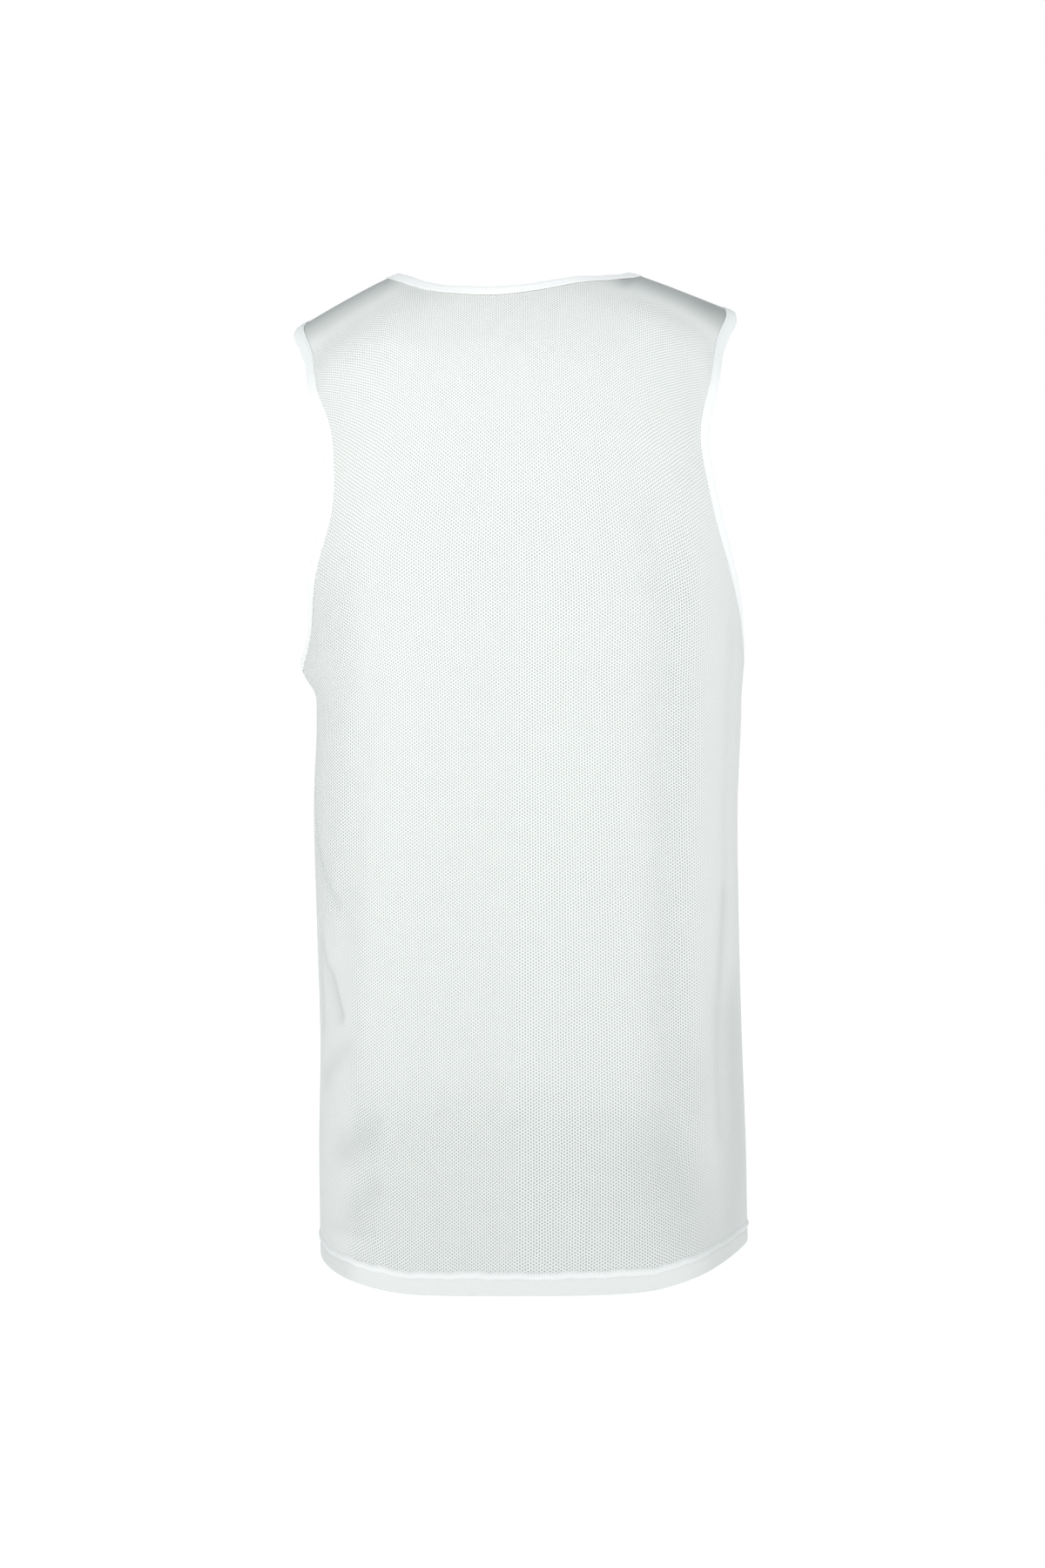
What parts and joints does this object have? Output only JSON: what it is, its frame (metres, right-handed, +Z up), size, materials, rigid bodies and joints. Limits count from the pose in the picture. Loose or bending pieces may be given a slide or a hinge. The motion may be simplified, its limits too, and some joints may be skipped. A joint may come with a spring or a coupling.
{
  "type": "sleeveless mesh training vest, filled out as if worn",
  "caption": "Sleeveless eyelet-mesh training vest in hollow worn form: back and front panels with turned-up hems, bound neck and bound armholes.",
  "frame": {"origin": "midway between the neck ends of the two shoulder seams, where the wearer's shoulders carry the vest", "axes": "+Z up the wearer's body, -Y out of the back, which is the side shown, +Y out of the front, +X to the wearer's right"},
  "size_m": [0.3599, 0.2976, 0.7673],
  "materials": {
    "mesh_knit": "white polyester eyelet mesh, matt, staggered round holes at a 2.4 mm pitch",
    "binding_knit": "white smooth interlock knit, matt, folded double"
  },
  "bodies": {
    "root": {"back_panel": "mesh_knit", "front_panel": "mesh_knit", "neck_binding": "binding_knit", "armhole_binding_left": "binding_knit", "armhole_binding_right": "binding_knit"}
  },
  "joints": []
}
